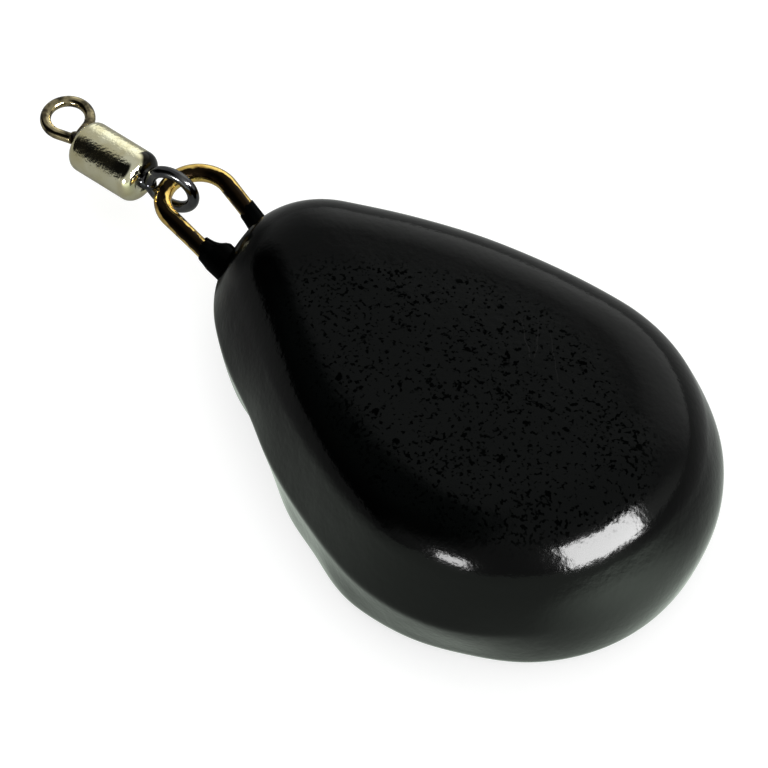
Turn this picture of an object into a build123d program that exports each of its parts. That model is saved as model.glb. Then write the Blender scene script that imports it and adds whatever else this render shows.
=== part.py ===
"""Fishing sinker: a dipped flat-pear lead with a wire loop cast in its nose and a barrel swivel on the loop.

Millimetres. The origin lies on the flat underside, below the centre of the round tail. +X runs to the
nose and the swivel, +Z is up, and the lead is even about the XZ plane.
"""
import os
from math import acos, atan2, cos, degrees, radians, sin, sqrt, tan

from build123d import *

# Lead, measured over its coating
tail_radius = 13.5
nose_radius = 7.2
nose_distance = 17.1
flank_radius = 47.0
parting_height = 4.7
crown_height = 7.5
crown_draft = 18.0
crown_nose_flat = 0.9
base_draft = 11.5
base_round = 1.5
coating_wall = 0.4

# Wire loop, sized on the wire's centreline
wire_diameter = 1.2
loop_radius = 2.35
loop_reach = 8.0
loop_yaw = -8.0
loop_shift = 0.45
leg_lean = 4.0
leg_bury = 4.5
foot_bend_radius = 1.5
foot_turn_angle = 70.0
foot_length = 1.5

# Coating drawn up the legs of the loop
collar_reach = 2.9
collar_root_wall = 0.35
collar_tip_wall = 0.1

# Barrel swivel, drawn straight out from the loop
swivel_seat = 25.6
swivel_offset = 0.5
swivel_pitch = 3.0
swivel_yaw = 6.5
barrel_diameter = 3.6
barrel_length = 4.1
barrel_cone = 0.75
barrel_rim = 0.5
barrel_mouth = 2.0
barrel_wall = 0.45
barrel_cap = 0.5
shank_diameter = 0.95
shank_clearance = 0.06
head_diameter = 1.7
head_length = 0.6
head_gap = 0.3
lower_neck_stand = 0.42
upper_neck_stand = 0.6

# Wire eyes of the swivel
eye_wire = 0.8
eye_bore = 2.4
eye_strand_gap = 0.4
lower_eye_back = 0.5
lower_eye_side = -0.4
lower_eye_rise = 0.2
lower_neck_reach = 1.12
upper_eye_length = 1.82
upper_eye_yaw = -25.7

# Flank arc: touches the tail arc and the nose arc from the inside
flank_to_tail = flank_radius - tail_radius
flank_to_nose = flank_radius - nose_radius
flank_x = (flank_to_tail**2 - flank_to_nose**2 + nose_distance**2) / (2 * nose_distance)
flank_y = -sqrt(flank_to_tail**2 - flank_x**2)
flank_tail_angle = atan2(-flank_y, -flank_x)
flank_nose_angle = atan2(-flank_y, nose_distance - flank_x)

# Largest shoulder round that still leaves the flat on the crown's nose
draft_slope = tan(radians(crown_draft))
draft_sine = sin(radians(crown_draft))
draft_cosine = cos(radians(crown_draft))
shoulder_run = nose_radius - crown_nose_flat - crown_height * draft_slope
shoulder_round = shoulder_run / (draft_cosine - (1 - draft_sine) * draft_slope)

# Loop, in its own frame: X runs out from the nose tip along the loop
nose_tip = nose_distance + nose_radius
loop_heading = Vector(cos(radians(loop_yaw)), sin(radians(loop_yaw)), 0)
loop_frame = Plane(origin=(nose_tip, loop_shift, parting_height), x_dir=loop_heading, z_dir=(0, 0, 1))
loop_centre = loop_reach - loop_radius
leg_angle = radians(leg_lean)
leg_start_x = loop_centre - loop_radius * sin(leg_angle)
leg_start_y = loop_radius * cos(leg_angle)
leg_length = (leg_start_x + leg_bury) / cos(leg_angle)
collar_length = collar_reach + coating_wall + wire_diameter
collar_root_x = -coating_wall - wire_diameter
collar_root_y = leg_start_y - (leg_start_x - collar_root_x) * tan(leg_angle)

# Swivel axis, from its seat on the loop outward
seat_angle = radians(swivel_seat)
pitch = radians(swivel_pitch)
yaw = radians(swivel_yaw)
seat_x = loop_centre + loop_radius * cos(seat_angle)
seat = loop_frame.from_local_coords((seat_x, loop_radius * sin(seat_angle), 0))
swivel_axis = Vector(cos(pitch) * cos(yaw), cos(pitch) * sin(yaw), -sin(pitch))
swivel_side = Vector(-sin(yaw), cos(yaw), 0)
swivel_rise = swivel_axis.cross(swivel_side)
hang_point = Vector(seat) + swivel_side * swivel_offset
swivel_frame = Plane(origin=hang_point, x_dir=swivel_side, z_dir=swivel_axis)

# Stations along the swivel axis, from the seat
lower_mouth = lower_neck_reach + lower_neck_stand
barrel_start = lower_mouth + barrel_cone
barrel_end = barrel_start + barrel_length
upper_mouth = barrel_end + barrel_cone
barrel_radius = barrel_diameter / 2
barrel_bore = barrel_radius - barrel_wall
shank_hole = shank_diameter / 2 + shank_clearance
lower_head = barrel_start + head_gap
upper_head = barrel_end - head_gap - head_length

# Eyes: neck points on the swivel axis, and the planes that their rings lie in
eye_radius = (eye_bore + eye_wire) / 2
lower_neck = swivel_frame.from_local_coords((0, 0, lower_neck_reach))
lower_centre = swivel_frame.from_local_coords((lower_eye_side, lower_eye_rise, -lower_eye_back))
lower_heading = lower_centre - lower_neck
lower_eye_length = lower_heading.length
lower_ring = Plane(origin=lower_neck, x_dir=lower_heading, z_dir=lower_heading.cross(swivel_rise))
upper_neck = swivel_frame.from_local_coords((0, 0, upper_mouth + upper_neck_stand))
upper_heading = radians(upper_eye_yaw)
upper_ring = Plane(origin=upper_neck, x_dir=(cos(upper_heading), sin(upper_heading), 0), z_dir=(0, 0, 1))


def pear_plan(inset):
    """Returns the plan of the lead at its parting line, drawn in by an inset all round."""
    flank_start = degrees(flank_nose_angle)
    flank_sweep = degrees(flank_tail_angle - flank_nose_angle)
    with BuildSketch(Plane.XY.offset(parting_height)) as plan:
        with BuildLine():
            CenterArc((0, 0), tail_radius - inset, degrees(flank_tail_angle), 180 - degrees(flank_tail_angle))
            CenterArc((flank_x, flank_y), flank_radius - inset, flank_start, flank_sweep)
            CenterArc((nose_distance, 0), nose_radius - inset, 0, flank_start)
            mirror(about=Plane.XZ)
        make_face()
    return plan.sketch


def eye_strand(ring, length):
    """Returns one strand of an eye in its ring plane: from the neck, tangent to the ring, to its far side."""
    half_gap = eye_strand_gap / 2
    touch_angle = atan2(half_gap, -length) - acos(eye_radius / sqrt(length**2 + half_gap**2))
    touch = (length + eye_radius * cos(touch_angle), eye_radius * sin(touch_angle))
    with BuildLine(ring) as strand:
        Line((0, half_gap), touch)
        CenterArc((length, 0), eye_radius, degrees(touch_angle), -degrees(touch_angle))
    return strand.line


with BuildPart() as wire_loop:
    with BuildLine(loop_frame) as loop_path:
        end_arc = JernArc((loop_reach, 0), (0, 1), loop_radius, 90 + leg_lean)
        leg = Line(end_arc @ 1, (end_arc @ 1) + (end_arc % 1) * leg_length)
        bend = JernArc(leg @ 1, leg % 1, foot_bend_radius, -foot_turn_angle)
        Line(bend @ 1, (bend @ 1) + (bend % 1) * foot_length)
    with BuildSketch(Plane(origin=loop_path.line @ 0, z_dir=loop_path.line % 0)):
        Circle(wire_diameter / 2)
    sweep(path=loop_path.line)
    mirror(about=Plane(origin=loop_frame.origin, z_dir=loop_frame.y_dir))

with BuildPart() as lead_core:
    extrude(pear_plan(coating_wall), amount=crown_height - coating_wall, taper=crown_draft)
    extrude(pear_plan(coating_wall), amount=parting_height - coating_wall, dir=(0, 0, -1), taper=base_draft)
    fillet(lead_core.faces().sort_by(Axis.Z)[-1].edges(), shoulder_round - coating_wall)
    fillet(lead_core.faces().sort_by(Axis.Z)[0].edges(), base_round - coating_wall)
    add(wire_loop.part, mode=Mode.SUBTRACT)

with BuildPart() as black_coating:
    extrude(pear_plan(0), amount=crown_height, taper=crown_draft)
    extrude(pear_plan(0), amount=parting_height, dir=(0, 0, -1), taper=base_draft)
    fillet(black_coating.faces().sort_by(Axis.Z)[-1].edges(), shoulder_round)
    fillet(black_coating.faces().sort_by(Axis.Z)[0].edges(), base_round)
    for side in (1, -1):
        leg_line = Plane(
            origin=loop_frame.from_local_coords((collar_root_x, side * collar_root_y, 0)),
            z_dir=loop_frame.x_dir * cos(leg_angle) + loop_frame.y_dir * side * sin(leg_angle),
        )
        with Locations(leg_line):
            Cone(
                wire_diameter / 2 + collar_root_wall,
                wire_diameter / 2 + collar_tip_wall,
                collar_length,
                align=(Align.CENTER, Align.CENTER, Align.MIN),
            )
    add(lead_core.part, mode=Mode.SUBTRACT)
    add(wire_loop.part, mode=Mode.SUBTRACT)

with BuildPart() as swivel_barrel:
    with BuildSketch(Plane(origin=hang_point, x_dir=swivel_axis, z_dir=swivel_side)):
        with BuildLine():
            Polyline(
                (lower_mouth, shank_hole),
                (lower_mouth, barrel_mouth / 2),
                (barrel_start, barrel_radius),
                (barrel_end, barrel_radius),
                (upper_mouth, barrel_mouth / 2),
                (upper_mouth, shank_hole),
                (upper_mouth - barrel_cap, shank_hole),
                (barrel_end, barrel_bore),
                (barrel_start, barrel_bore),
                (lower_mouth + barrel_cap, shank_hole),
                close=True,
            )
        make_face()
    revolve(axis=Axis(hang_point, swivel_axis))
    fillet(swivel_barrel.edges().filter_by(GeomType.CIRCLE).group_by(SortBy.RADIUS)[-1], barrel_rim)

with BuildPart() as lower_eye:
    lower_strand = eye_strand(lower_ring, lower_eye_length)
    with BuildSketch(Plane(origin=lower_strand @ 0, z_dir=lower_strand % 0)):
        Circle(eye_wire / 2)
    sweep(path=lower_strand)
    mirror(about=Plane(origin=lower_neck, z_dir=lower_ring.y_dir))
    with Locations(lower_neck):
        Sphere(shank_diameter / 2)
    with Locations(swivel_frame.offset(lower_neck_reach)):
        Cylinder(
            shank_diameter / 2,
            lower_head - lower_neck_reach,
            align=(Align.CENTER, Align.CENTER, Align.MIN),
        )
    with Locations(swivel_frame.offset(lower_head)):
        Cylinder(head_diameter / 2, head_length, align=(Align.CENTER, Align.CENTER, Align.MIN))

with BuildPart() as upper_eye:
    upper_strand = eye_strand(upper_ring, upper_eye_length)
    with BuildSketch(Plane(origin=upper_strand @ 0, z_dir=upper_strand % 0)):
        Circle(eye_wire / 2)
    sweep(path=upper_strand)
    mirror(about=Plane(origin=upper_neck, z_dir=upper_ring.y_dir))
    with Locations(upper_neck):
        Sphere(shank_diameter / 2)
    with Locations(swivel_frame.offset(upper_head)):
        Cylinder(
            shank_diameter / 2,
            upper_mouth + upper_neck_stand - upper_head,
            align=(Align.CENTER, Align.CENTER, Align.MIN),
        )
        Cylinder(head_diameter / 2, head_length, align=(Align.CENTER, Align.CENTER, Align.MIN))

os.makedirs("parts", exist_ok=True)

lead_core.part.label = "lead_core"
export_step(lead_core.part, "parts/lead_core.step")

black_coating.part.label = "black_coating"
export_step(black_coating.part, "parts/black_coating.step")

wire_loop.part.label = "wire_loop"
export_step(wire_loop.part, "parts/wire_loop.step")

swivel_barrel.part.label = "swivel_barrel"
export_step(swivel_barrel.part, "parts/swivel_barrel.step")

lower_eye.part.label = "lower_eye"
export_step(lower_eye.part, "parts/lower_eye.step")

upper_eye.part.label = "upper_eye"
export_step(upper_eye.part, "parts/upper_eye.step")
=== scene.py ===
"""Looks of the fishing sinker: a dipped lead with a brass loop in its nose and a barrel swivel on the loop.

Every mesh is modelled in millimetres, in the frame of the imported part, and scaled to metres at the end.
"""

import logging
from dataclasses import dataclass, field
from enum import Enum
from math import acos, atan2, cos, degrees, exp, pi, radians, sin, sqrt, tan

import bmesh
import bpy
from mathutils import Matrix, Vector, noise


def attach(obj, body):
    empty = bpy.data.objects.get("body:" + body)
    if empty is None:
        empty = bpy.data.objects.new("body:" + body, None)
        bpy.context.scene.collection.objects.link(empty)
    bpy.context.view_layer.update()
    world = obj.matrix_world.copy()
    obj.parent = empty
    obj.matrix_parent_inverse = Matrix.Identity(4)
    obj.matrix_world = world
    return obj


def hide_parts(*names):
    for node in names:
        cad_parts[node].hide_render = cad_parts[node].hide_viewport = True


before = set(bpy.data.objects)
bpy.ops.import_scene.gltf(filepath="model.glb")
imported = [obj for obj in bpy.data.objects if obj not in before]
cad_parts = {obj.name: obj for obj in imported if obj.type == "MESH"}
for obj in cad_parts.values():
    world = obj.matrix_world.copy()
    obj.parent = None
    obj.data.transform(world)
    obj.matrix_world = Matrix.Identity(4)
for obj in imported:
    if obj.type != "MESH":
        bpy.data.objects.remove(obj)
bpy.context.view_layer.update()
MM = 0.001
SEAM = 0.001
PAINTED_SHADE_FLANK = "flank"
NUMBER_SUMS = ("DISTANCE", "DOT_PRODUCT", "LENGTH")
LOG = logging.getLogger("sinker")

Colour = tuple[float, float, float]
Point = tuple[float, float, float]
Pair = tuple[float, float]
Socket = bpy.types.NodeSocket
Tree = bpy.types.NodeTree
Edges = list[bmesh.types.BMEdge]
UP: Point = (0.0, 0.0, 1.0)


class Body(Enum):
    """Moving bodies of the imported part."""

    LEAD = "lead"
    LOOP_EYE = "loop_eye"
    DRUM = "drum"
    LINE_EYE = "line_eye"


class Leg(Enum):
    """Legs of the wire loop, by the side of the lead that they stand on."""

    NEAR = 1
    FAR = -1


class Bench:
    """Lays out the nodes of one material, world or node group."""

    def __init__(self, tree: Tree) -> None:
        """Takes the tree to work on and empties it."""
        self.tree = tree
        self.tree.nodes.clear()

    def add(self, kind: str, links: dict | None = None, **settings: object) -> bpy.types.Node:
        """Adds a node.

        Args:
            kind: Node type without its ShaderNode prefix, or a full type name.
            links: Input socket, by name or number, to a value or to another node's output socket.
            **settings: Properties of the node itself.

        Returns:
            The new node.
        """
        full = kind if kind.startswith("NodeGroup") else "ShaderNode" + kind
        node = self.tree.nodes.new(full)
        for key, value in settings.items():
            setattr(node, key, value)
        for key, value in (links or {}).items():
            self.feed(node.inputs[key], value)
        return node

    def feed(self, socket: Socket, value: object) -> None:
        """Links an output to an input socket, or sets the socket to a value."""
        if isinstance(value, Socket):
            self.tree.links.new(value, socket)
        else:
            socket.default_value = value

    def noise(self, place: Socket, scale: object, detail: float = 2.0) -> Socket:
        """Adds a noise of so many waves per metre and octaves, and returns its value, about 0.3 to 0.7."""
        return self.add("TexNoise", {"Vector": place, "Scale": scale, "Detail": detail}).outputs["Fac"]

    def ramp(self, value: Socket, low: object, high: object, start: float = 0.0, end: float = 1.0) -> Socket:
        """Stretches a value over a range with a soft step.

        Args:
            value: What is stretched.
            low: Value at which the step begins.
            high: Value at which the step is done.
            start: What comes out before the step.
            end: What comes out after the step.

        Returns:
            The stretched value.
        """
        limits = {"Value": value, "From Min": low, "From Max": high, "To Min": start, "To Max": end}
        return self.add("MapRange", limits, interpolation_type="SMOOTHSTEP").outputs["Result"]

    def maths(self, operation: str, *values: object) -> Socket:
        """Adds one sum over values or sockets and returns its result."""
        return self.add("Math", dict(enumerate(values)), operation=operation).outputs[0]

    def vectors(self, operation: str, *values: object) -> Socket:
        """Adds one sum over vectors or sockets and returns its result, a number where the sum gives one."""
        node = self.add("VectorMath", dict(enumerate(values)), operation=operation)
        return node.outputs["Value" if operation in NUMBER_SUMS else "Vector"]

    def tint(self, share: Socket, first: object, second: object) -> Socket:
        """Mixes two colours.

        Args:
            share: Share of the second colour.
            first: Colour or colour socket.
            second: Colour or colour socket.

        Returns:
            The mixed colour.
        """
        node = self.add("Mix", {"Factor": share}, data_type="RGBA")
        for socket, colour in zip(node.inputs[6:8], (first, second)):
            self.feed(socket, colour if isinstance(colour, Socket) else (*colour, 1.0))
        return node.outputs[2]


class Effects:
    """Node groups that several finishes share, each built once."""

    def __init__(self) -> None:
        """Builds the groups."""
        self.mottle = self._mottle()
        self.flecks = self._flecks()
        self.drawn = self._drawn()
        self.hairline = self._hairline()

    @staticmethod
    def _group(name: str, inputs: dict[str, float], outputs: tuple[str, ...]) -> Tree:
        """Makes an empty group with a Place input.

        Args:
            name: Name of the group.
            inputs: Value inputs with their defaults.
            outputs: Names of the value outputs.

        Returns:
            The group's tree.
        """
        tree = bpy.data.node_groups.new(name, "ShaderNodeTree")
        tree.interface.new_socket("Place", in_out="INPUT", socket_type="NodeSocketVector")
        for label, value in inputs.items():
            socket = tree.interface.new_socket(label, in_out="INPUT", socket_type="NodeSocketFloat")
            socket.default_value = value
        for label in outputs:
            tree.interface.new_socket(label, in_out="OUTPUT", socket_type="NodeSocketFloat")
        return tree

    def _mottle(self) -> Tree:
        """Builds cloudy patches with a soft edge, as tarnish and worn plate have, and returns the group."""
        tree = self._group("cloudy_mottle", {"Scale": 600.0, "Low": 0.4, "High": 0.6}, ("Mask",))
        bench = Bench(tree)
        inside = bench.add("NodeGroupInput").outputs
        cloud = bench.noise(inside["Place"], inside["Scale"], detail=5.0)
        bench.add("NodeGroupOutput", {"Mask": bench.ramp(cloud, inside["Low"], inside["High"])})
        return tree

    def _flecks(self) -> Tree:
        """Builds scattered specks, as dust and pin holes are, and returns the group."""
        tree = self._group("scattered_flecks", {"Scale": 300.0, "Size": 0.1, "Share": 0.2}, ("Mask",))
        bench = Bench(tree)
        inside = bench.add("NodeGroupInput").outputs
        warp = bench.add("TexNoise", {"Vector": inside["Place"], "Scale": 2400.0, "Detail": 2.0})
        shift = bench.vectors("SUBTRACT", warp.outputs["Color"], (0.5, 0.5, 0.5))
        bent = bench.vectors("MULTIPLY_ADD", shift, (0.0003, 0.0003, 0.0003), inside["Place"])
        cells = bench.add("TexVoronoi", {"Vector": bent, "Scale": inside["Scale"]})
        chance = bench.add("SeparateColor", {0: cells.outputs["Color"]}).outputs[0]
        chosen = bench.maths("LESS_THAN", chance, inside["Share"])
        spot = bench.ramp(cells.outputs["Distance"], inside["Size"], 0.0)
        bench.add("NodeGroupOutput", {"Mask": bench.maths("MULTIPLY", chosen, spot)})
        return tree

    def _drawn(self) -> Tree:
        """Builds fine lines along the local X axis, as drawing and tumbling leave, and returns the group."""
        tree = self._group("drawn_lines", {"Scale": 3000.0, "Stretch": 0.06}, ("Height",))
        bench = Bench(tree)
        inside = bench.add("NodeGroupInput").outputs
        ratio = bench.add("CombineXYZ", {"X": inside["Stretch"], "Y": 1.0, "Z": 1.0}).outputs[0]
        drawn = bench.vectors("MULTIPLY", inside["Place"], ratio)
        bench.add("NodeGroupOutput", {"Height": bench.noise(drawn, inside["Scale"], detail=3.0)})
        return tree

    def _hairline(self) -> Tree:
        """Builds one thin wavering scratch from a start along a way, and returns the group."""
        tree = self._group("hairline_scratch", {"Width": 0.00006}, ("Mask",))
        for label in ("Start", "Way"):
            tree.interface.new_socket(label, in_out="INPUT", socket_type="NodeSocketVector")
        bench = Bench(tree)
        inside = bench.add("NodeGroupInput").outputs
        waver = bench.add("TexNoise", {"Vector": inside["Place"], "Scale": 500.0, "Detail": 1.0})
        bent = bench.vectors("MULTIPLY_ADD", waver.outputs["Color"], (0.0006, 0.0006, 0.0), inside["Place"])
        gone = bench.vectors("SUBTRACT", bent, inside["Start"])
        reach = bench.vectors("DOT_PRODUCT", gone, inside["Way"])
        whole = bench.vectors("DOT_PRODUCT", inside["Way"], inside["Way"])
        share = bench.add("Math", {0: reach, 1: whole}, operation="DIVIDE", use_clamp=True)
        near = bench.add("VectorMath", {0: inside["Way"], "Scale": share.outputs[0]}, operation="SCALE")
        away = bench.vectors("DISTANCE", gone, near.outputs[0])
        bench.add("NodeGroupOutput", {"Mask": bench.ramp(away, inside["Width"], 0.0)})
        return tree


def put(name: str, data: bpy.types.ID) -> bpy.types.Object:
    """Makes an object of a mesh, lamp or camera, puts it into the scene and returns it."""
    made = bpy.data.objects.new(name, data)
    bpy.context.scene.collection.objects.link(made)
    return made


class Finish:
    """Common part of every finish: one material on Object coordinates with a Principled shader."""

    name: str

    def make(self, effects: Effects) -> bpy.types.Material:
        """Builds the material from the shared effects and returns it."""
        material = bpy.data.materials.new(self.name)
        material.use_nodes = True
        bench = Bench(material.node_tree)
        place = bench.add("TexCoord").outputs["Object"]
        shader = bench.add("BsdfPrincipled", self.looks(bench, place, effects))
        bench.add("OutputMaterial", {"Surface": shader.outputs[0]})
        return material

    def looks(self, bench: Bench, place: Socket, effects: Effects) -> dict[str, object]:
        """Lays out the nodes of one finish.

        Args:
            bench: Bench of the material.
            place: Object coordinates.
            effects: Shared node groups.

        Returns:
            The value or the output socket that feeds each named socket of the Principled shader.
        """
        raise NotImplementedError

    @staticmethod
    def effect(bench: Bench, group: Tree, place: object, **values: object) -> Socket:
        """Places a shared effect.

        Args:
            bench: Bench of the material.
            group: Effect's node group.
            place: Coordinates that it reads.
            **values: Values of the group's inputs, with their first letter in lower case.

        Returns:
            The effect's output.
        """
        links = {"Place": place} | {key.capitalize(): value for key, value in values.items()}
        return bench.add("Group", links, node_tree=group).outputs[0]

    @staticmethod
    def bump(bench: Bench, height: Socket, depth: float, below: object = None) -> Socket:
        """Adds a bump.

        Args:
            bench: Bench of the material.
            height: Height from 0 to 1.
            depth: Real depth of that height in millimetres.
            below: Normal of a coarser bump under this one.

        Returns:
            The bent normal.
        """
        links = {"Height": height, "Strength": 1.0, "Distance": depth * MM}
        return bench.add("Bump", links if below is None else links | {"Normal": below}).outputs[0]


@dataclass(frozen=True)
class DippedSkin(Finish):
    """Glossy black dipped plastic: an orange-peel gloss with dull specks on its crown, a grey of hazy bloom
    and painted sheen on the crown, dust and scratches.
    """

    name: str = "dipped_black_skin"
    colour: Colour = (0.0004, 0.0005, 0.0005)
    hazy: Colour = (0.0008, 0.001, 0.0009)
    dust: Colour = (0.42, 0.42, 0.4)
    scuff: Colour = (0.008, 0.008, 0.0078)
    # Grey of the crown's hazy bloom and painted sheen.
    bloom_and_sheen: Colour = (0.0015, 0.0019, 0.0018)
    gloss: float = 0.12
    gloss_index: float = 1.2
    peel_waves: float = 620.0
    peel_depth: float = 0.022
    grain_waves: float = 2600.0
    grain_depth: float = 0.014
    crown_heights: Pair = (0.0101, 0.0113)
    speck_middle: Point = (0.0025, 0.0028, 0.0)
    speck_turn: float = 6.8
    speck_reach: Point = (0.015, 0.0092, 1.0)
    speck_edge: Pair = (1.0, 1.2)
    speck_edge_waves: float = 300.0
    speck_waves: float = 3600.0
    speck_cloud_waves: float = 240.0
    speck_limits: Pair = (0.7, 0.84)
    unevenness: float = 0.3
    calm_spots: tuple[tuple[Point, float, float, float], ...] = (
        ((0.025, 0.0005, 0.0055), 0.0038, 0.0048, 0.1),
        ((0.022, 0.0026, 0.0097), 0.001, 0.0028, 0.3),
    )
    scratches: tuple[tuple[Point, Point], ...] = (
        ((0.0058, -0.005, 0.01235), (-0.0042, 0.0026, 0.0)),
        ((0.0014, -0.0026, 0.01235), (0.0026, -0.0029, 0.0)),
        ((0.0026, -0.0049, 0.01235), (-0.0036, 0.0025, 0.0)),
    )

    def looks(self, bench: Bench, place: Socket, effects: Effects) -> dict[str, object]:
        """Lays out the nodes and returns what feeds the shader."""
        cloud = self.effect(bench, effects.mottle, place, scale=260.0, low=0.38, high=0.68)
        dust = self.effect(bench, effects.flecks, place, scale=330.0, size=0.05, share=0.14)
        crown, dull = self._specks(bench, place, effects.mottle)
        # Painted sheen, partly the crown's own hazy bloom: a grey added to the base colour wherever the crown
        # keeps its gloss.
        bloom_and_sheen = bench.maths("MULTIPLY", crown, bench.maths("SUBTRACT", 1.0, dull))
        base = bench.tint(bloom_and_sheen, bench.tint(cloud, self.colour, self.hazy), self.bloom_and_sheen)
        for start, way in self.scratches:
            mark = self.effect(bench, effects.hairline, place, start=start, way=way)
            base = bench.tint(mark, base, self.scuff)
        gloss = bench.maths("SUBTRACT", 1.0, dull)
        for middle, first, last, least in self.calm_spots:
            apart = bench.vectors("DISTANCE", place, middle)
            gloss = bench.maths("MULTIPLY", gloss, bench.ramp(apart, first, last, least, 1.0))
        peel = self.bump(bench, bench.noise(place, self.peel_waves, detail=1.0), self.peel_depth)
        fine = self.bump(bench, bench.noise(place, self.grain_waves, detail=3.0), self.grain_depth, peel)
        return {
            "Base Color": bench.tint(dust, base, self.dust),
            "Roughness": 0.5,
            "Specular IOR Level": 0.0,
            "Coat Weight": gloss,
            "Coat Roughness": self.gloss,
            "Coat IOR": self.gloss_index,
            "Normal": fine,
            "Coat Normal": fine,
        }

    def _specks(self, bench: Bench, place: Socket, mottle: Tree) -> tuple[Socket, Socket]:
        """Lays out the dull specks on the crown.

        Args:
            bench: Bench of the material.
            place: Object coordinates.
            mottle: Effect that the larger specks come from.

        Returns:
            The share of the specked stretch, and how much gloss the skin lacks, both from 0 to 1.
        """
        oval = {
            "Vector": place,
            "Location": self.speck_middle,
            "Rotation": (0.0, 0.0, radians(self.speck_turn)),
            "Scale": self.speck_reach,
        }
        flat = bench.add("Mapping", oval, vector_type="TEXTURE").outputs[0]
        apart = bench.vectors("LENGTH", flat)
        height = bench.add("SeparateXYZ", {0: place}).outputs["Z"]
        uneven = bench.noise(place, self.speck_edge_waves)
        edge = bench.maths("MULTIPLY_ADD", uneven, self.unevenness, apart)
        inner = bench.ramp(edge, *self.speck_edge, 1.0, 0.0)
        crown = bench.maths("MULTIPLY", inner, bench.ramp(height, *self.crown_heights))
        cloud = bench.noise(place, self.speck_cloud_waves)
        specks = bench.noise(place, self.speck_waves, detail=1.0)
        thick = bench.maths("MULTIPLY_ADD", cloud, self.unevenness, specks)
        blots = self.effect(bench, mottle, place, scale=1200.0, low=0.62, high=0.68)
        dull = bench.maths("MAXIMUM", bench.ramp(thick, *self.speck_limits), blots)
        return crown, bench.maths("MULTIPLY", crown, dull)


@dataclass(frozen=True)
class BrassTarnishAndPaintedShade(Finish):
    """Drawn brass wire with dark tarnished patches, a stain by the lead, and a dark band of painted shade
    along its upper flank, which stands in for a reflection of the room's dark side.
    """

    name: str = "brass_wire_tarnish_and_painted_shade"
    bright: Colour = (0.86, 0.6, 0.17)
    dull: Colour = (0.42, 0.24, 0.055)
    # Dark colour of the real tarnished patches and of the painted shade band along the upper flank.
    tarnish_and_shade: Colour = (0.016, 0.01, 0.005)
    stained: Pair = (0.0315, 0.0275)
    stain_gain: float = 0.24
    stain_and_shade_waves: float = 1700.0
    stain_and_shade_unevenness: float = 0.34
    stain_and_shade_limits: Pair = (1.0, 1.08)
    polish: Pair = (0.13, 0.3)
    lump_waves: float = 1500.0
    lump_depth: float = 0.012
    line_depth: float = 0.004

    def looks(self, bench: Bench, place: Socket, effects: Effects) -> dict[str, object]:
        """Lays out the nodes and returns what feeds the shader."""
        tone = self.effect(bench, effects.mottle, place, scale=900.0, low=0.5, high=0.68)
        patch = self.effect(bench, effects.mottle, place, scale=1300.0, low=0.56, high=0.68)
        # Painted shade: the flank mark, added to the stain by the lead, darkens the wire along its upper
        # flank into a band that stands in for a dark reflection; patch gives the real tarnished patches.
        flank = bench.add("Attribute", attribute_name=PAINTED_SHADE_FLANK).outputs["Fac"]
        station = bench.add("SeparateXYZ", {0: place}).outputs["X"]
        near = bench.ramp(station, *self.stained, 0.0, self.stain_gain)
        uneven = bench.noise(place, self.stain_and_shade_waves, detail=3.0)
        ragged = bench.maths("MULTIPLY_ADD", uneven, self.stain_and_shade_unevenness, bench.maths("ADD", flank, near))
        stain_and_shade = bench.maths("MAXIMUM", patch, bench.ramp(ragged, *self.stain_and_shade_limits))
        lines = self.effect(bench, effects.drawn, place, scale=5200.0, stretch=0.12)
        lumps = self.bump(bench, bench.noise(place, self.lump_waves), self.lump_depth)
        metal = bench.tint(tone, self.bright, self.dull)
        return {
            "Base Color": bench.tint(stain_and_shade, metal, self.tarnish_and_shade),
            "Metallic": 1.0,
            "Roughness": bench.ramp(stain_and_shade, 0.0, 1.0, *self.polish),
            "Normal": self.bump(bench, lines, self.line_depth, lumps),
        }


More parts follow.
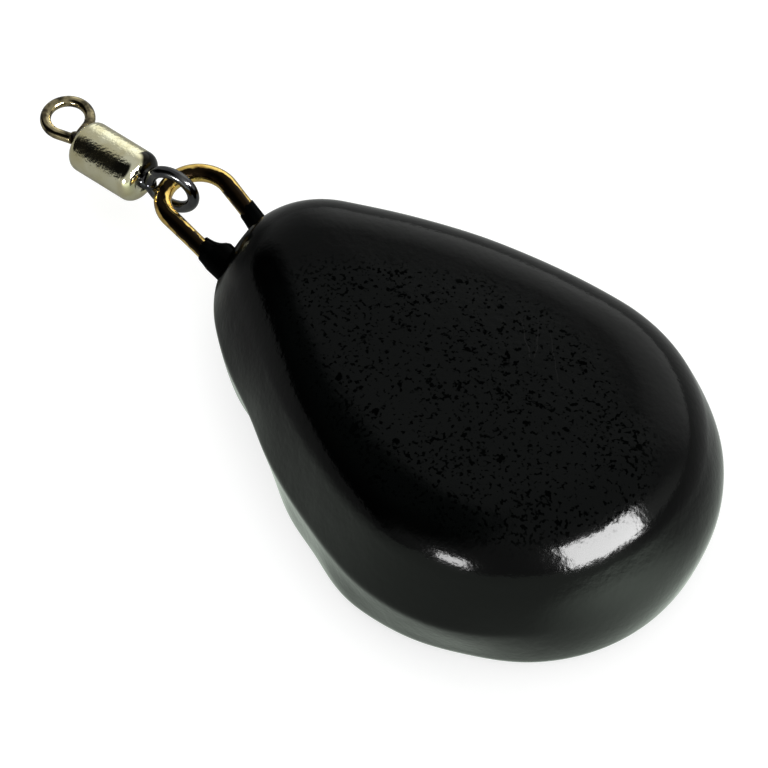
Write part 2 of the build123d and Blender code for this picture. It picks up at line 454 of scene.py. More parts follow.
@dataclass(frozen=True)
class PlatedMetal(Finish):
    """Nickel plate in the swivel's own frame: a grainy satin stretch, polished ends, cloudy worn spots and a
    painted shade on the near dome about the mouth.
    """

    name: str
    bright: Colour
    worn: Colour
    satin: float
    rubbed: float
    line: "SwivelLine"
    satin_ends: Pair = (0.0, 0.0)
    satin_fade: float = 0.15
    # Dark colour of the painted shade in the near mouth, where it lies and how far it reaches.
    mouth_shade: Colour = (0.012, 0.011, 0.009)
    mouth_shade_middle: Point = (0.0, -0.85, 0.3)
    mouth_shade_reach: Pair = (-2.0, -1.0)
    cloud_scale: float = 520.0
    grain_scale: float = 4600.0
    grain_depth: float = 0.032
    line_depth: float = 0.003
    pit_depth: float = 0.008

    def looks(self, bench: Bench, place: Socket, effects: Effects) -> dict[str, object]:
        """Lays out the nodes and returns what feeds the shader."""
        turn = self.line.place()
        spot = {"Vector": place, "Location": turn.translation * MM, "Rotation": turn.to_euler()}
        along = bench.add("Mapping", spot, vector_type="TEXTURE").outputs[0]
        cloud = self.effect(bench, effects.mottle, along, scale=self.cloud_scale, low=0.36, high=0.66)
        specks = self.effect(bench, effects.flecks, along, scale=1800.0, size=0.4, share=0.2)
        lines = self.effect(bench, effects.drawn, along, scale=6400.0, stretch=0.08)
        station = bench.add("SeparateXYZ", {0: along}).outputs["X"]
        # Painted shade: near the mouth, before the satin stretch and within a reach of a point beside the
        # axis, the plate turns to a dark colour.
        across = bench.vectors("MULTIPLY", along, (0.0, 1.0, 1.0))
        out = bench.vectors("DISTANCE", across, Vector(self.mouth_shade_middle) * MM)
        first, last, fade = (size * MM for size in (*self.satin_ends, self.satin_fade))
        past = bench.ramp(station, first, first + fade)
        clean = bench.maths("MAXIMUM", past, bench.ramp(out, *(reach * MM for reach in self.mouth_shade_reach)))
        satin = bench.maths("MULTIPLY", past, bench.ramp(station, last - fade, last, 1.0, 0.0))
        grain = bench.maths("MULTIPLY", satin, bench.noise(along, self.grain_scale))
        fine = self.bump(bench, lines, self.line_depth, self.bump(bench, grain, self.grain_depth))
        return {
            "Base Color": bench.tint(clean, self.mouth_shade, bench.tint(cloud, self.bright, self.worn)),
            "Metallic": 1.0,
            "Roughness": bench.ramp(cloud, 0.0, 1.0, self.satin, self.rubbed),
            "Normal": self.bump(bench, bench.maths("SUBTRACT", 1.0, specks), self.pit_depth, fine),
        }


@dataclass(frozen=True)
class CastLead(Finish):
    """Dull grey cast lead under the coating."""

    name: str = "cast_lead_core"
    clean: Colour = (0.33, 0.34, 0.36)
    oxide: Colour = (0.2, 0.2, 0.21)
    dullness: Pair = (0.45, 0.7)
    grain_waves: float = 1800.0
    grain_depth: float = 0.03

    def looks(self, bench: Bench, place: Socket, effects: Effects) -> dict[str, object]:
        """Lays out the nodes and returns what feeds the shader."""
        cloud = self.effect(bench, effects.mottle, place, scale=300.0, low=0.35, high=0.65)
        return {
            "Base Color": bench.tint(cloud, self.clean, self.oxide),
            "Metallic": 1.0,
            "Roughness": bench.ramp(cloud, 0.0, 1.0, *self.dullness),
            "Normal": self.bump(bench, bench.noise(place, self.grain_waves, detail=4.0), self.grain_depth),
        }


@dataclass
class Workpiece:
    """A mesh in millimetres on its way to a finished piece."""

    name: str
    body: Body
    slot: str
    node: str
    mesh: bmesh.types.BMesh = field(default_factory=bmesh.new)

    def ring(self, radius: float, segments: int, place: Matrix) -> Edges:
        """Starts a tube.

        Args:
            radius: Radius of the tube.
            segments: Edges round it.
            place: Where the ring's centre and axis lie.

        Returns:
            The ring's edges.
        """
        made = bmesh.ops.create_circle(self.mesh, segments=segments, radius=radius, matrix=place)
        return list({edge for vert in made["verts"] for edge in vert.link_edges})

    def draw_out(self, edges: Edges, step: Vector, count: int = 1) -> Edges:
        """Extrudes an open ring.

        Args:
            edges: Edges of the ring.
            step: Way that each new ring moves on.
            count: Number of new rings.

        Returns:
            The edges of the last ring.
        """
        for _ in range(count):
            made = bmesh.ops.extrude_edge_only(self.mesh, edges=edges)["geom"]
            verts = [item for item in made if isinstance(item, bmesh.types.BMVert)]
            edges = [item for item in made if isinstance(item, bmesh.types.BMEdge)]
            bmesh.ops.translate(self.mesh, vec=step, verts=verts)
        return edges

    def turn(self, edges: Edges, centre: Point, axis: Point, angle: float, steps: int) -> Edges:
        """Spins an open ring round a bend.

        Args:
            edges: Edges of the ring.
            centre: Point on the bend's axis.
            axis: Direction of the bend's axis.
            angle: Angle of the bend in radians.
            steps: Rings along the bend.

        Returns:
            The edges of the last ring.
        """
        verts = list({vert for edge in edges for vert in edge.verts})
        made = bmesh.ops.spin(
            self.mesh,
            geom=verts + edges,
            cent=centre,
            axis=axis,
            angle=angle,
            steps=steps,
            use_merge=False,
            use_duplicate=False,
        )
        return [item for item in made["geom_last"] if isinstance(item, bmesh.types.BMEdge)]

    def close(self, edges: Edges) -> None:
        """Closes an open ring with one face."""
        bmesh.ops.holes_fill(self.mesh, edges=edges, sides=0)

    def roughen(self, wave: float, depth: float) -> None:
        """Pushes the surface in and out a little, as handling and dipping leave it.

        Args:
            wave: Length of the waves.
            depth: Depth of the waves.
        """
        self.mesh.normal_update()
        for vert in self.mesh.verts:
            vert.co += vert.normal * depth * noise.noise(vert.co / wave)

    def relax(self, verts: list) -> None:
        """Draws points half-way to the middle of their neighbours."""
        bmesh.ops.smooth_vert(
            self.mesh,
            verts=verts,
            factor=0.5,
            use_axis_x=True,
            use_axis_y=True,
            use_axis_z=True,
        )

    def move(self, place: Matrix) -> None:
        """Moves the whole mesh."""
        bmesh.ops.transform(self.mesh, matrix=place, verts=self.mesh.verts)

    def reflect(self) -> None:
        """Adds the mirror image over the XZ plane."""
        parts = self.mesh.verts[:] + self.mesh.edges[:] + self.mesh.faces[:]
        bmesh.ops.mirror(self.mesh, geom=parts, axis="Y", merge_dist=SEAM)

    def finish(self, material: bpy.types.Material) -> bpy.types.Object:
        """Scales the mesh to metres and makes it a piece that rides on its body.

        Args:
            material: Finish of the piece.

        Returns:
            The new object.
        """
        bmesh.ops.recalc_face_normals(self.mesh, faces=self.mesh.faces)
        bmesh.ops.scale(self.mesh, vec=Vector((MM, MM, MM)), verts=self.mesh.verts)
        data = bpy.data.meshes.new(self.name)
        self.mesh.to_mesh(data)
        self.mesh.free()
        data.shade_smooth()
        data.materials.append(material)
        piece = put(self.name, data)
        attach(piece, self.body.value)
        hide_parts(self.node)
        LOG.info("%s: %d faces", self.name, len(data.polygons))
        return piece


@dataclass(frozen=True)
class Dent:
    """A soft local change of the lead's side: its middle, how far it reaches and how deep it goes."""

    middle: Point
    along: float
    upright: float
    depth: float

    def push(self, place: Vector) -> float:
        """Returns how far in the side goes at a place."""
        flat = (place.x - self.middle[0]) ** 2 + (place.y - self.middle[1]) ** 2
        return self.depth * exp(-flat / self.along**2 - (place.z - self.middle[2]) ** 2 / self.upright**2)


@dataclass
class DippedLead:
    """The coated flat pear: its plan of arcs, its section, its dents and the lead under the coating."""

    tail_radius: float = 13.5
    nose_radius: float = 7.2
    nose_distance: float = 17.1
    flank_radius: float = 47.0
    parting_height: float = 4.7
    crown_height: float = 7.5
    crown_draft: float = 18.0
    crown_nose_flat: float = 0.9
    crown_dome: float = 0.2
    base_draft: float = 11.5
    base_round: float = 1.5
    shoulder_end: float = 87.5
    stations: tuple[float, ...] = (0.06, 0.13, 0.22, 0.36, 0.68)
    middle_x: float = 4.5
    rounds: int = 320
    rings: int = 220
    relax_rounds: int = 6
    peel_wave: float = 4.5
    peel_depth: float = 0.03
    coating: float = 0.4
    belly_turns: tuple[float, float, float, float] = (112.0, 150.0, 325.0, 355.0)
    belly_half: float = 3.2
    dents: tuple[Dent, ...] = (
        Dent((14.2, 8.5, 1.0), 2.6, 3.5, 0.65),
        Dent((19.2, 6.6, 2.0), 2.6, 4.0, -0.25),
        Dent((8.2, 11.2, 0.8), 2.6, 2.5, -0.25),
        Dent((2.6, 12.8, 0.8), 3.0, 2.5, -0.45),
        Dent((-6.6, 10.7, 0.8), 3.5, 2.5, 0.35),
        Dent((18.0, 6.5, 10.8), 9.0, 3.0, 0.5),
        Dent((-9.5, -9.5, 4.2), 11.0, 3.2, -0.42),
        Dent((-13.2, 2.0, 1.5), 5.0, 4.0, -0.12),
        Dent((24.2, 0.8, 6.0), 4.6, 12.0, -0.75),
    )

    def __post_init__(self) -> None:
        """Works out the arcs of the plan and the corners of the section."""
        to_tail = self.flank_radius - self.tail_radius
        to_nose = self.flank_radius - self.nose_radius
        flank_x = (to_tail**2 - to_nose**2 + self.nose_distance**2) / (2 * self.nose_distance)
        flank_y = -sqrt(to_tail**2 - flank_x**2)
        tail_angle = atan2(-flank_y, -flank_x)
        nose_angle = atan2(-flank_y, self.nose_distance - flank_x)
        self.arcs = (
            (self.nose_distance, 0.0, self.nose_radius, 0.0, nose_angle),
            (flank_x, flank_y, self.flank_radius, nose_angle, tail_angle),
            (0.0, 0.0, self.tail_radius, tail_angle, 2 * pi - tail_angle),
            (flank_x, -flank_y, self.flank_radius, -tail_angle, -nose_angle),
            (self.nose_distance, 0.0, self.nose_radius, -nose_angle, 0.0),
        )
        self.girth = sum(radius * (last - first) for _, _, radius, first, last in self.arcs)
        draft = radians(self.crown_draft)
        run = self.nose_radius - self.crown_nose_flat - self.crown_height * tan(draft)
        self.shoulder = run / (cos(draft) - (1 - sin(draft)) * tan(draft))

    def edge(self, share: float) -> tuple[Vector, Vector]:
        """Finds a point of the plan.

        Args:
            share: Share of the way round, from the tip of the nose.

        Returns:
            The point and its outward direction.
        """
        left = share * self.girth
        for x, y, radius, first, last in self.arcs:
            length = radius * (last - first)
            if left <= length:
                break
            left -= length
        angle = first + min(left, length) / radius
        out = Vector((cos(angle), sin(angle), 0.0))
        return Vector((x, y, 0.0)) + out * radius, out

    def section(self, share: float) -> tuple[float, float, float]:
        """Finds a station of the section.

        Args:
            share: Share of the way from the middle of the underside, over the side, to that of the crown.

        Returns:
            How far in from the plan it lies, its height, and how far it is drawn to the middle.
        """
        base, crown = radians(self.base_draft), radians(self.crown_draft)
        foot_height = self.base_round * (1 - sin(base))
        foot_inset = (self.parting_height - foot_height) * tan(base)
        rise = self.crown_height - self.shoulder * (1 - sin(crown))
        top_inset = rise * tan(crown) + self.shoulder * cos(crown)
        top_centre = self.parting_height + self.crown_height - self.shoulder
        last = radians(self.shoulder_end)
        foot, side, parting, shoulder, flat = self.stations
        if share < foot:
            return foot_inset + self.base_round * cos(base), 0.0, share / foot
        if share < side:
            angle = -pi / 2 + (share - foot) / (side - foot) * (pi / 2 - base)
            inset = foot_inset + self.base_round * (cos(base) - cos(angle))
            return inset, self.base_round * (1 + sin(angle)), 1.0
        if share < parting:
            way = (share - side) / (parting - side)
            return foot_inset * (1 - way), foot_height + (self.parting_height - foot_height) * way, 1.0
        if share < shoulder:
            way = (share - parting) / (shoulder - parting)
            return rise * tan(crown) * way, self.parting_height + rise * way, 1.0
        if share < flat:
            angle = crown + (share - shoulder) / (flat - shoulder) * (last - crown)
            return top_inset - self.shoulder * cos(angle), top_centre + self.shoulder * sin(angle), 1.0
        way = 1.0 - (share - flat) / (1.0 - flat)
        height = top_centre + self.shoulder * sin(last) + self.crown_dome * (1 - way * way)
        return top_inset - self.shoulder * cos(last), height, way

    def place(self, spot: Vector) -> Vector:
        """Moves a point of the unit ball to the coating's surface.

        Args:
            spot: Point of the ball.

        Returns:
            Its place on the lead.
        """
        inset, height, drawn = self.section(1.0 - acos(max(-1.0, min(1.0, spot.z))) / pi)
        point, out = self.edge((atan2(spot.y, spot.x) / (2 * pi)) % 1.0)
        middle = Vector((self.middle_x, 0.0, 0.0))
        found = middle + (point - out * inset - middle) * drawn
        found.z = height
        found -= out * self._belly(found)
        for dent in self.dents:
            found -= out * dent.push(found)
        return found

    def _belly(self, place: Vector) -> float:
        """Rounds the parting edge off round the tail, where the coating lies thicker.

        Args:
            place: Point of the sharp section.

        Returns:
            How far in it goes.
        """
        turn = degrees(atan2(place.y, place.x)) % 360.0
        first, full, last, gone = self.belly_turns
        share = max(0.0, min(1.0, (turn - first) / (full - first), (gone - turn) / (gone - last)))
        slope = tan(radians(self.base_draft)) + tan(radians(self.crown_draft))
        near = max(0.0, self.belly_half - abs(place.z - self.parting_height))
        return share * slope / (4 * self.belly_half) * near**2

    def build(self) -> Workpiece:
        """Shapes a ball into the coated lead and returns it."""
        work = Workpiece("dipped_lead", Body.LEAD, "dipped_skin", "black_coating")
        self._pour(work, self.rounds, self.rings)
        work.roughen(self.peel_wave, self.peel_depth)
        return work

    def build_core(self) -> Workpiece:
        """Shapes the lead under the coating and returns it."""
        work = Workpiece("cast_lead", Body.LEAD, "cast_lead", "lead_core")
        self._pour(work, self.rounds // 2, self.rings // 2)
        work.mesh.normal_update()
        for vert in work.mesh.verts:
            vert.co -= vert.normal * self.coating
        return work

    def _pour(self, work: Workpiece, rounds: int, rings: int) -> None:
        """Fills a piece with the lead's outer shape.

        Args:
            work: Piece to fill.
            rounds: Points round the plan.
            rings: Rings from the underside to the crown.
        """
        bmesh.ops.create_uvsphere(work.mesh, u_segments=rounds, v_segments=rings, radius=1.0)
        for vert in work.mesh.verts:
            vert.co = self.place(vert.co)
        for _ in range(self.relax_rounds):
            work.relax(work.mesh.verts)


@dataclass(frozen=True)
class LoopLine:
    """The loop's own frame: it starts at the tip of the nose and X runs out along the loop."""

    start: Point = (24.3, 0.45, 4.7)
    yaw: float = -8.0
    bend_x: float = 5.65
    bend_radius: float = 2.35
    lean: float = 4.0
    wire_radius: float = 0.6

    def place(self) -> Matrix:
        """Returns the frame."""
        return Matrix.Translation(self.start) @ Matrix.Rotation(radians(self.yaw), 4, "Z")

    def half_width(self, along: float) -> float:
        """Returns how far a leg's middle lies from the loop's middle at a station."""
        lean = radians(self.lean)
        first = self.bend_x - self.bend_radius * sin(lean)
        return self.bend_radius * cos(lean) - (first - along) * tan(lean)


@dataclass
class LegCollar:
    """Coating drawn up one leg of the loop: a web at the nose, thin and ragged where it ends on the wire."""

    leg: Leg
    reach: float
    skew: float
    line: LoopLine = LoopLine()
    root: float = -1.6
    tip_wall: float = 0.05
    tuck: float = 0.06
    web_wall: float = 0.3
    web_start: float = 1.76
    web_fade: float = 0.75
    web_limit: float = 0.9
    web_lean: float = 0.45
    ragged: float = 0.45
    ragged_waves: float = 1.5
    ragged_seed: float = 3.7
    lumps: float = 0.03
    lump_waves: float = 0.9
    lump_seed: float = 9.0
    segments: int = 48
    rings: int = 40

    def build(self) -> Workpiece:
        """Draws the collar out of a ring and returns it."""
        work = Workpiece(f"leg_collar_{self.leg.name.lower()}", Body.LEAD, "dipped_skin", "black_coating")
        edges = work.ring(1.0, self.segments, Matrix.Rotation(pi / 2, 4, "Y"))
        work.close(edges)
        edges = work.draw_out(edges, Vector((1.0 / self.rings, 0.0, 0.0)), self.rings)
        work.close(edges)
        for vert in work.mesh.verts:
            vert.co = self._shape(vert.co)
        work.move(self.line.place())
        return work

    def _shape(self, spot: Vector) -> Vector:
        """Moves a point of the plain tube to the collar.

        Args:
            spot: Point of a tube of radius and length 1.

        Returns:
            Its place in the loop's frame.
        """
        side = self.leg.value
        inward = -side * spot.y
        round_wire = Vector((spot.y, spot.z, 0.0)) * self.ragged_waves
        wave = noise.noise(round_wire + Vector((0.0, 0.0, side * self.ragged_seed)))
        end = self.reach + self.skew * inward + self.ragged * wave
        along = self.root + (end - self.root) * spot.x
        web = min(self.web_limit, self.web_wall * exp((self.web_start - along) / self.web_fade))
        wall = self.tip_wall + web * (1.0 - self.web_lean + self.web_lean * inward)
        lump = Vector((spot.y, spot.z, along * self.lump_waves + side * self.lump_seed))
        wall *= 1.0 + self.lumps * noise.noise(lump)
        if spot.x > 1.0 - 0.5 / self.rings:
            wall = -self.tuck
        radius = self.line.wire_radius + wall
        return Vector((along, side * self.line.half_width(along) + spot.y * radius, spot.z * radius))


@dataclass
class WireLoop:
    """The brass loop: an end bend, two leaning legs and the feet that hold in the lead."""

    line: LoopLine = LoopLine()
    leg_length: float = 10.0
    foot_bend_radius: float = 1.5
    foot_turn: float = 70.0
    foot_length: float = 1.5
    segments: int = 36
    bend_steps: int = 48
    leg_steps: int = 36
    foot_steps: int = 14
    kink_wave: float = 2.2
    kink_depth: float = 0.025
    # Direction of the painted shade band on the wire, and how much more of it the far leg takes.
    shade_side: Point = (-0.36, 0.5, 0.79)
    far_shade: float = 0.08

    def build(self) -> Workpiece:
        """Bends half of the loop from a ring, mirrors it and returns it."""
        work = Workpiece("brass_loop", Body.LEAD, "brass_wire", "wire_loop")
        lean, far = radians(self.line.lean), self.line.bend_x + self.line.bend_radius
        start = Matrix.Translation((far, 0.0, 0.0)) @ Matrix.Rotation(pi / 2, 4, "X")
        edges = work.ring(self.line.wire_radius, self.segments, start)
        edges = work.turn(edges, (self.line.bend_x, 0.0, 0.0), UP, pi / 2 + lean, self.bend_steps)
        leg = Vector((-cos(lean), -sin(lean), 0.0))
        edges = work.draw_out(edges, leg * (self.leg_length / self.leg_steps), self.leg_steps)
        middle = sum((edge.verts[0].co + edge.verts[1].co for edge in edges), Vector()) / (2 * len(edges))
        bend = middle + Vector((-leg.y, leg.x, 0.0)) * -self.foot_bend_radius
        edges = work.turn(edges, bend, UP, -radians(self.foot_turn), self.foot_steps)
        foot = Matrix.Rotation(-radians(self.foot_turn), 3, "Z") @ leg
        work.close(work.draw_out(edges, foot * self.foot_length))
        work.reflect()
        self._mark_painted_shade(work)
        work.roughen(self.kink_wave, self.kink_depth)
        work.move(self.line.place())
        return work

    def _mark_painted_shade(self, work: Workpiece) -> None:
        """Marks how near each point of the wire is to its upper flank, which 1 stands for; the brass finish
        paints a dark band of shade there, wider on the far leg, in place of a dark reflection.
        """
        layer = work.mesh.verts.layers.float.new(PAINTED_SHADE_FLANK)
        bmesh.ops.recalc_face_normals(work.mesh, faces=work.mesh.faces)
        work.mesh.normal_update()
        upper = self.line.place().to_3x3().transposed() @ Vector(self.shade_side)
        for vert in work.mesh.verts:
            past = max(0.0, vert.co.x - self.line.bend_x)
            along = Vector((-vert.co.y, past, 0.0)).normalized() if past else Vector((1.0, 0.0, 0.0))
            across = upper - along * upper.dot(along)
            far = max(0.0, Leg.FAR.value * vert.co.y / self.line.bend_radius)
            vert[layer] = vert.normal.dot(across.normalized()) + self.far_shade * min(1.0, far)


@dataclass(frozen=True)
class SwivelLine:
    """The swivel's own axis: where it hangs on the loop, which way it points and the stations along it."""

    hang: Point = (32.0784, 0.871, 4.7)
    pitch: float = 3.0
    yaw: float = 6.5
    low_neck: float = 1.12
    low_stand: float = 0.42
    high_stand: float = 0.6
    cone: float = 0.75
    drum_length: float = 4.1
    head_gap: float = 0.3
    low_eye: Point = (-0.5, -0.4, 0.2)
    high_yaw: float = -25.7
    high_length: float = 1.82

    def place(self) -> Matrix:
        """Returns the frame with X along the axis, Y to the side and Z up from the axis."""
        turn = Matrix.Rotation(radians(self.yaw), 4, "Z") @ Matrix.Rotation(radians(self.pitch), 4, "Y")
        return Matrix.Translation(self.hang) @ turn

    def drum(self) -> tuple[float, float, float, float]:
        """Returns the stations of the near mouth, the near rim, the far rim and the far mouth."""
        mouth = self.low_neck + self.low_stand
        start = mouth + self.cone
        end = start + self.drum_length
        return mouth, start, end, end + self.cone


@dataclass
class SwivelDrum:
    """The barrel of the swivel, a hollow drum with a coned and rolled end for each shank."""

    line: SwivelLine = SwivelLine()
    radius: float = 1.8
    mouth_radius: float = 1.0
    hole_radius: float = 0.535
    wall: float = 0.45
    cap: float = 0.5
    steps: int = 96
    dome_steps: int = 12
    weld: float = 0.0001

    def build(self) -> Workpiece:
        """Spins the drum's section, rounds its rims and returns it."""
        work = Workpiece("swivel_drum", Body.DRUM, "plated_drum", "swivel_barrel")
        first, start, end, last = self.line.drum()
        corners = (
            (first, self.hole_radius),
            *self._dome(first, start),
            *reversed(self._dome(last, end)),
            (last, self.hole_radius),
            (last - self.cap, self.hole_radius),
            (end, self.radius - self.wall),
            (start, self.radius - self.wall),
            (first + self.cap, self.hole_radius),
        )
        verts = [work.mesh.verts.new((along, out, 0.0)) for along, out in corners]
        edges = [work.mesh.edges.new(pair) for pair in zip(verts, verts[1:] + verts[:1])]
        bmesh.ops.spin(
            work.mesh,
            geom=verts + edges,
            cent=(0, 0, 0),
            axis=(1, 0, 0),
            angle=2 * pi,
            steps=self.steps,
            use_merge=True,
            use_duplicate=False,
        )
        bmesh.ops.remove_doubles(work.mesh, verts=work.mesh.verts, dist=self.weld)
        bmesh.ops.recalc_face_normals(work.mesh, faces=work.mesh.faces)
        work.move(self.line.place())
        return work

    def _dome(self, mouth: float, rim: float) -> list[Pair]:
        """Draws the swelling end of the drum.

        Args:
            mouth: Station of the mouth.
            rim: Station of the rim.

        Returns:
            The stations and radii from the mouth to the rim.
        """
        turns = [pi / 2 * step / self.dome_steps for step in range(self.dome_steps + 1)]
        swell = self.radius - self.mouth_radius
        return [(rim + (mouth - rim) * cos(turn), self.mouth_radius + swell * sin(turn)) for turn in turns]


@dataclass
class SwivelEye:
    """One eye of the swivel: a drop-shaped ring, its neck, and the headed shank that runs in the drum."""

    name: str
    body: Body
    slot: str
    node: str
    ring: Matrix
    length: float
    neck: float
    head: float
    line: SwivelLine = SwivelLine()
    wire_radius: float = 0.4
    ring_radius: float = 1.6
    strand_gap: float = 0.4
    shank_radius: float = 0.475
    head_radius: float = 0.85
    head_length: float = 0.6
    segments: int = 28
    ring_steps: int = 44
    strand_steps: int = 6
    ball_rounds: int = 32
    ball_rings: int = 20
    pin_segments: int = 40

    def build(self) -> Workpiece:
        """Bends the ring, adds the neck, shank and head, and returns the eye."""
        work = Workpiece(self.name, self.body, self.slot, self.node)
        half_gap = self.strand_gap / 2
        reach = sqrt(self.length**2 + half_gap**2)
        touch = pi - atan2(half_gap, self.length) - acos(self.ring_radius / reach)
        start = Matrix.Translation((self.length + self.ring_radius, 0, 0)) @ Matrix.Rotation(pi / 2, 4, "X")
        edges = work.ring(self.wire_radius, self.segments, start)
        edges = work.turn(edges, (self.length, 0, 0), UP, touch, self.ring_steps)
        away = Vector((-sin(touch), cos(touch), 0.0))
        straight = sqrt(reach**2 - self.ring_radius**2)
        work.close(work.draw_out(edges, away * (straight / self.strand_steps), self.strand_steps))
        work.reflect()
        work.move(self.ring)
        made = bmesh.ops.create_uvsphere(
            work.mesh,
            u_segments=self.ball_rounds,
            v_segments=self.ball_rings,
            radius=self.shank_radius,
        )
        bmesh.ops.translate(work.mesh, vec=self.ring.translation, verts=made["verts"])
        self._pin(work, self.shank_radius, self.neck, self.head)
        ahead = self.head_length if self.head > self.neck else -self.head_length
        self._pin(work, self.head_radius, self.head, self.head + ahead)
        return work

    def _pin(self, work: Workpiece, radius: float, first: float, last: float) -> None:
        """Adds a round pin on the swivel's axis.

        Args:
            work: Eye on the bench.
            radius: Radius of the pin.
            first: Station where it starts.
            last: Station where it ends.
        """
        place = Matrix.Translation(((first + last) / 2, 0, 0)) @ Matrix.Rotation(pi / 2, 4, "Y")
        bmesh.ops.create_cone(
            work.mesh,
            cap_ends=True,
            segments=self.pin_segments,
            radius1=radius,
            radius2=radius,
            depth=abs(last - first),
            matrix=self.line.place() @ place,
        )


@dataclass(frozen=True)
class Lamp:
    """One area lamp: its heading in degrees, its distance and size in metres, and its face's brightness."""

    name: str
    heading: Pair
    distance: float
    size: Pair
    radiance: float


@dataclass
class Studio:
    """Floor, lights and the camera, which stands where the photograph was taken from."""

    target: Point = (10.37, 1.39, 4.7)
    azimuth: float = -133.9
    elevation: float = 52.85
    distance: float = 353.5
    lens: float = 256.9
    sensor: float = 36.0
    clip: Pair = (0.01, 50.0)
    floor_size: float = 6.0
    floor_colour: Colour = (0.36, 0.365, 0.36)
    white: Colour = (1.0, 1.0, 1.0)
    backdrop: float = 0.76
    glint: float = 0.85
    glint_colour: Colour = (0.9, 1.04, 0.9)
    glint_x: Pair = (0.036, 0.006)
    glint_y: Pair = (-0.023, -0.002)
    pool: Point = (-0.027, 0.002, 0.0)
    pool_size: float = 0.016
    pool_glint: float = 3.2
    dim_wall: Colour = (0.003, 0.003, 0.003)
    grey_wall: Colour = (0.5, 0.51, 0.505)
    low_dark: Pair = (40.0, 12.0)
    high_dark: Pair = (68.0, 48.0)
    dark_edge: Pair = (0.93, 0.75)
    bright_walls: tuple[tuple[Pair, Pair, Colour], ...] = (
        ((-75.0, 15.0), (0.7, 0.98), (1.4, 1.43, 1.4)),
        ((-148.0, 0.0), (0.86, 0.99), (1.1, 1.15, 1.1)),
    )
    panel: Lamp = Lamp("overhead_panel", (0.0, 90.0), 1.3, (2.4, 2.4), 1.1)
    softboxes: tuple[Lamp, ...] = (
        Lamp("right_softbox", (183.0, 17.0), 0.7, (0.53, 0.4), 80.0),
        Lamp("left_softbox", (106.0, 9.0), 0.7, (0.18, 0.11), 64.0),
    )

    def build(self) -> None:
        """Sets up the floor, the room, the lamps and the camera."""
        self._floor()
        self._room()
        self._hang(self.panel).visible_glossy = False
        for softbox in self.softboxes:
            self._hang(softbox).visible_diffuse = False
        self._camera()

    def _floor(self) -> None:
        """Lays the pale floor, which looks white to the camera, keeps the shadow and glints in gloss."""
        work = bmesh.new()
        bmesh.ops.create_grid(work, x_segments=1, y_segments=1, size=self.floor_size / 2)
        data = bpy.data.meshes.new("pale_floor")
        work.to_mesh(data)
        work.free()
        floor = put("pale_floor", data)
        material = bpy.data.materials.new("pale_floor")
        material.use_nodes = True
        bench = Bench(material.node_tree)
        path = bench.add("LightPath").outputs
        seen = bench.maths("MAXIMUM", path["Is Camera Ray"], path["Is Transmission Ray"])
        place = bench.add("TexCoord").outputs["Object"]
        spot = bench.add("SeparateXYZ", {0: place}).outputs
        ahead, aside = bench.ramp(spot["X"], *self.glint_x), bench.ramp(spot["Y"], *self.glint_y)
        sweep = bench.maths("MULTIPLY", ahead, aside)
        apart = bench.vectors("DISTANCE", place, self.pool)
        pool = bench.ramp(apart, self.pool_size, 0.0, end=self.pool_glint)
        lit = bench.maths("MULTIPLY_ADD", sweep, self.glint, pool)
        glint = bench.maths("MULTIPLY", path["Is Glossy Ray"], lit)
        shown = bench.maths("MULTIPLY_ADD", seen, self.backdrop, glint)
        looks = {
            "Base Color": (*self.floor_colour, 1.0),
            "Roughness": 1.0,
            "Specular IOR Level": 0.0,
            "Emission Color": bench.tint(path["Is Glossy Ray"], self.white, self.glint_colour),
            "Emission Strength": shown,
        }
        shader = bench.add("BsdfPrincipled", looks)
        bench.add("OutputMaterial", {"Surface": shader.outputs[0]})
        data.materials.append(material)

    def _room(self) -> None:
        """Makes the room grey with one dark side and two bright ones, and white to the camera."""
        world = bpy.data.worlds.new("studio_room")
        world.use_nodes = True
        bench = Bench(world.node_tree)
        path = bench.add("LightPath").outputs
        seen = bench.maths("MAXIMUM", path["Is Camera Ray"], path["Is Transmission Ray"])
        way = bench.add("TexCoord").outputs["Generated"]
        low = self._toward(bench, way, self.low_dark, self.dark_edge)
        high = self._toward(bench, way, self.high_dark, self.dark_edge)
        shade = bench.tint(bench.maths("MULTIPLY", low, high), self.dim_wall, self.grey_wall)
        for side, edge, colour in self.bright_walls:
            shade = bench.tint(self._toward(bench, way, side, edge), shade, colour)
        shade = bench.tint(seen, shade, self.white)
        sky = bench.add("Background", {"Color": shade, "Strength": 1.0})
        bench.add("OutputWorld", {"Surface": sky.outputs[0]})
        bpy.context.scene.world = world

    def _toward(self, bench: Bench, way: Socket, side: Pair, edge: Pair) -> Socket:
        """Marks one side of the room.

        Args:
            bench: Bench of the room.
            way: Direction that is looked in.
            side: Direction of the side's middle.
            edge: Cosines of the angle to it between which the mark runs from 0 to 1.

        Returns:
            The mark.
        """
        return bench.ramp(bench.vectors("DOT_PRODUCT", way, self._heading(side)), *edge)

    @staticmethod
    def _heading(angles: Pair) -> Vector:
        """Returns the direction at an angle from +X towards +Y and an angle above the floor, in degrees."""
        turn, lift = (radians(angle) for angle in angles)
        return Vector((cos(turn) * cos(lift), sin(turn) * cos(lift), sin(lift)))

    def _hang(self, lamp: Lamp) -> bpy.types.Object:
        """Hangs a lamp that faces the object.

        Args:
            lamp: Which lamp.

        Returns:
            The lamp's object.
        """
        away = self._heading(lamp.heading)
        light = bpy.data.lights.new(lamp.name, "AREA")
        light.shape = "RECTANGLE"
        light.size, light.size_y = lamp.size
        light.energy = lamp.radiance * pi * lamp.size[0] * lamp.size[1]
        hung = put(lamp.name, light)
        hung.location = Vector(self.target) * MM + away * lamp.distance
        hung.rotation_euler = away.to_track_quat("Z", "Y").to_euler()
        return hung

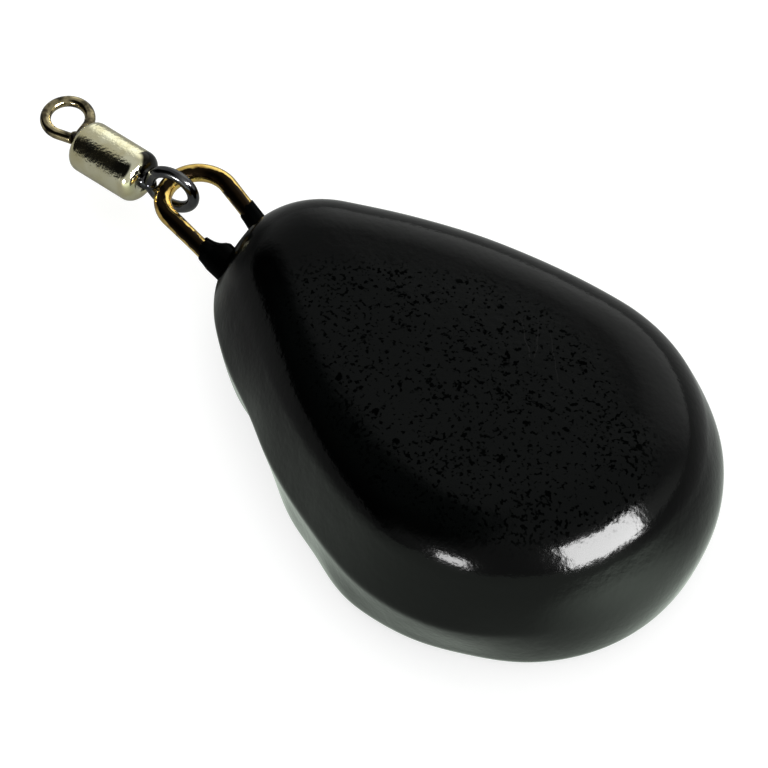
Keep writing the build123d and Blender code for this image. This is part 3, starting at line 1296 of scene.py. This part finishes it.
    def _camera(self) -> None:
        """Stands the camera at the photograph's place."""
        turn, lift = radians(self.azimuth), radians(self.elevation)
        back = Vector((sin(turn) * cos(lift), -cos(turn) * cos(lift), sin(lift)))
        data = bpy.data.cameras.new("photo_camera")
        data.lens = self.lens
        data.sensor_width = self.sensor
        data.clip_start, data.clip_end = self.clip
        camera = put("photo_camera", data)
        camera.location = (Vector(self.target) + back * self.distance) * MM
        camera.rotation_euler = back.to_track_quat("Z", "Y").to_euler()
        bpy.context.scene.camera = camera


def ring_frame(neck: Vector, ahead: Vector, normal: Vector) -> Matrix:
    """Finds the frame of an eye's ring.

    Args:
        neck: Point where the ring's strands meet.
        ahead: Direction from the neck to the middle of the ring.
        normal: Direction that the ring faces.

    Returns:
        The frame with X ahead, Z along the normal and its origin at the neck.
    """
    x = ahead.normalized()
    z = (normal - x * normal.dot(x)).normalized()
    frame_matrix = Matrix((x, z.cross(x), z)).transposed().to_4x4()
    frame_matrix.translation = neck
    return frame_matrix


def make_eyes(line: SwivelLine) -> tuple[SwivelEye, SwivelEye]:
    """Sets out both eyes of the swivel.

    Args:
        line: Axis of the swivel.

    Returns:
        The eye on the loop and the eye for the line.
    """
    axis = line.place()
    _, start, end, last = line.drum()
    neck = last + line.high_stand
    low_neck = axis @ Vector((line.low_neck, 0.0, 0.0))
    low_middle = axis @ Vector(line.low_eye)
    rise = axis.to_3x3() @ Vector(UP)
    low_ring = ring_frame(low_neck, low_middle - low_neck, (low_middle - low_neck).cross(rise))
    heading = radians(line.high_yaw)
    ahead = Vector((cos(heading), sin(heading), 0.0))
    high_ring = ring_frame(axis @ Vector((neck, 0.0, 0.0)), ahead, Vector(UP))
    low = SwivelEye(
        "loop_side_eye",
        Body.LOOP_EYE,
        "dark_wire",
        "lower_eye",
        ring=low_ring,
        length=(low_middle - low_neck).length,
        neck=line.low_neck,
        head=start + line.head_gap,
        line=line,
    )
    high = SwivelEye(
        "line_side_eye",
        Body.LINE_EYE,
        "bright_wire",
        "upper_eye",
        ring=high_ring,
        length=line.high_length,
        neck=neck,
        head=end - line.head_gap,
        line=line,
        wire_radius=0.37,
        ring_radius=1.5,
    )
    return low, high


def main() -> None:
    """Builds the studio and every piece of the sinker in order."""
    logging.basicConfig(level=logging.INFO, format="%(name)s %(message)s")
    bpy.context.scene.view_settings.view_transform = "Standard"
    Studio().build()
    effects = Effects()
    line = SwivelLine()
    _, near_rim, far_rim, _ = line.drum()
    skin = DippedSkin().make(effects)
    lead = DippedLead()
    lead.build_core().finish(CastLead().make(effects))
    lead.build().finish(skin)
    LegCollar(Leg.NEAR, reach=2.2, skew=0.6).build().finish(skin)
    LegCollar(Leg.FAR, reach=3.1, skew=-0.3, web_wall=0.12).build().finish(skin)
    WireLoop().build().finish(BrassTarnishAndPaintedShade().make(effects))
    nickel = PlatedMetal(
        "satin_nickel_drum",
        bright=(0.85, 0.82, 0.6),
        worn=(0.68, 0.62, 0.38),
        satin=0.1,
        rubbed=0.16,
        line=line,
        satin_ends=(near_rim, far_rim),
        # Reach of the painted shade on the near dome about the mouth.
        mouth_shade_reach=(1.35, 1.55),
    )
    dark = PlatedMetal(
        "black_nickel_wire",
        bright=(0.05, 0.051, 0.058),
        worn=(0.13, 0.13, 0.127),
        satin=0.12,
        rubbed=0.24,
        line=line,
    )
    pale = PlatedMetal(
        "worn_nickel_wire",
        bright=(0.5, 0.42, 0.24),
        worn=(0.035, 0.029, 0.018),
        satin=0.1,
        rubbed=0.2,
        line=line,
        cloud_scale=1100.0,
    )
    for part, plate in zip((SwivelDrum(line), *make_eyes(line)), (nickel, dark, pale)):
        part.build().finish(plate.make(effects))


if __name__ == "__main__":
    main()
